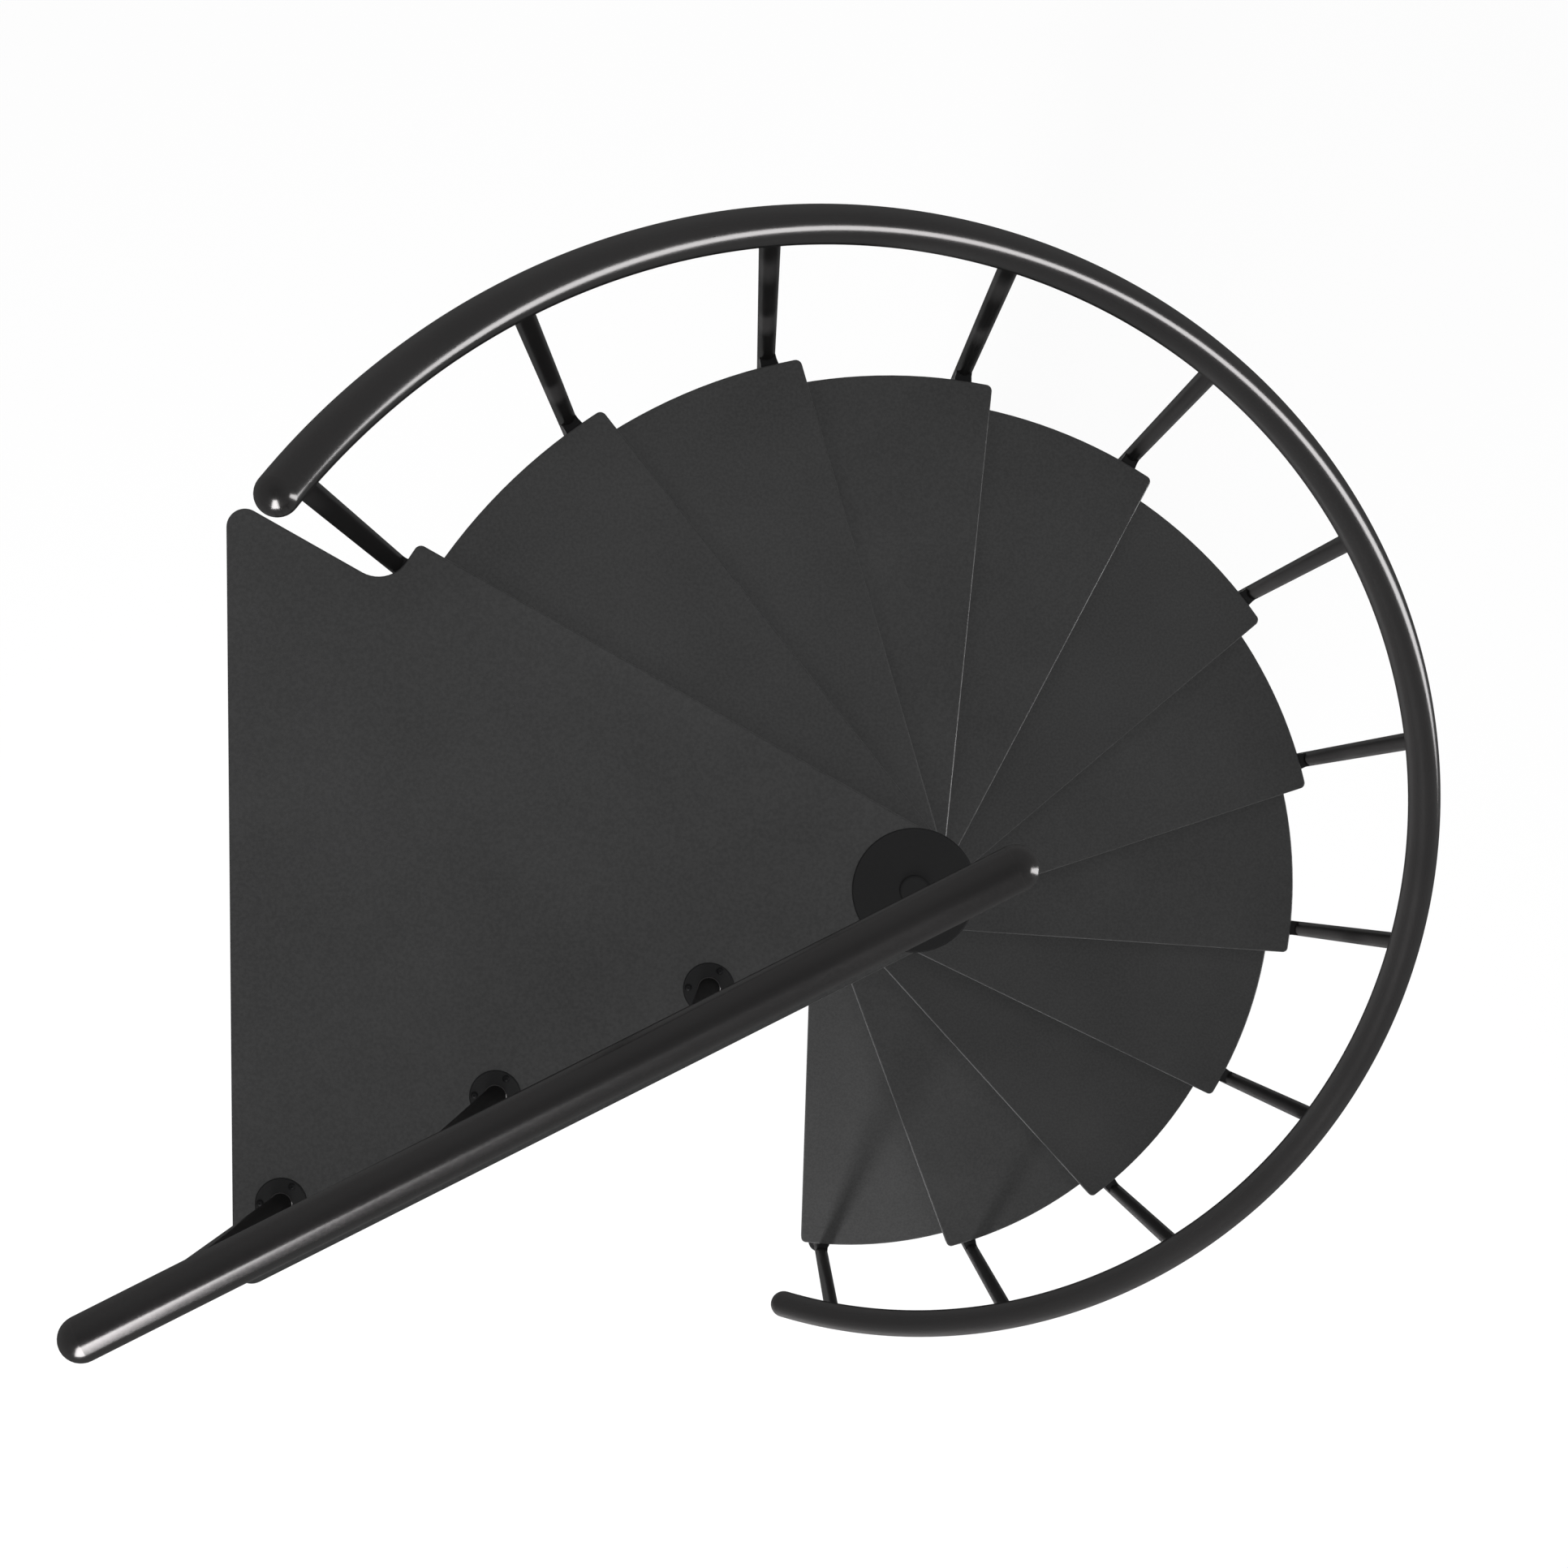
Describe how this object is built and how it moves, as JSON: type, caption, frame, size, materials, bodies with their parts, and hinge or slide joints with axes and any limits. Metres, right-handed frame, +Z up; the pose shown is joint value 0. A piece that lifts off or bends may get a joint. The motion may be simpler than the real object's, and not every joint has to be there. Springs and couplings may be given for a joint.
{
  "type": "spiral staircase",
  "caption": "Steel spiral stair with wedge treads on a central pole, slim balusters, a helical tube handrail, and a top landing with a guard that meets a wall.",
  "frame": {"origin": "centre of the base plate's underside, on the pole's axis at floor level", "axes": "+Z up along the pole; the landing runs towards -X and its wall edge faces -X; the stair turns anticlockwise as it climbs, seen from above"},
  "size_m": [1.4372, 1.376, 3.7299],
  "materials": {
    "coated_plate": "matte anthracite powder coat",
    "coated_tube": "smooth satin black powder coat",
    "coated_fittings": "matte black powder coat",
    "bolt_steel": "blackened steel",
    "dark_plastic": "moulded black plastic"
  },
  "bodies": {
    "root": {"base_plate": "coated_fittings", "central_pole": "coated_tube", "pole_sleeves": "coated_tube", "pole_cap": "coated_fittings", "cap_bolt": "bolt_steel", "tread_01": "coated_plate", "tread_02": "coated_plate", "tread_03": "coated_plate", "tread_04": "coated_plate", "tread_05": "coated_plate", "tread_06": "coated_plate", "tread_07": "coated_plate", "tread_08": "coated_plate", "tread_09": "coated_plate", "tread_10": "coated_plate", "tread_11": "coated_plate", "landing": "coated_plate", "baluster_01": "coated_tube", "baluster_02": "coated_tube", "baluster_03": "coated_tube", "baluster_04": "coated_tube", "baluster_05": "coated_tube", "baluster_06": "coated_tube", "baluster_07": "coated_tube", "baluster_08": "coated_tube", "baluster_09": "coated_tube", "baluster_10": "coated_tube", "baluster_11": "coated_tube", "baluster_12": "coated_tube", "baluster_plugs": "dark_plastic", "baluster_foot": "coated_fittings", "front_spacers": "dark_plastic", "rear_spacers": "dark_plastic", "handrail": "coated_tube", "handrail_end_caps": "coated_tube", "guard_rail": "coated_tube", "guard_end_caps": "coated_tube", "guard_post_1": "coated_tube", "guard_post_2": "coated_tube", "guard_post_3": "coated_tube", "guard_flange_1": "coated_fittings", "guard_flange_2": "coated_fittings", "guard_flange_3": "coated_fittings"}
  },
  "joints": []
}
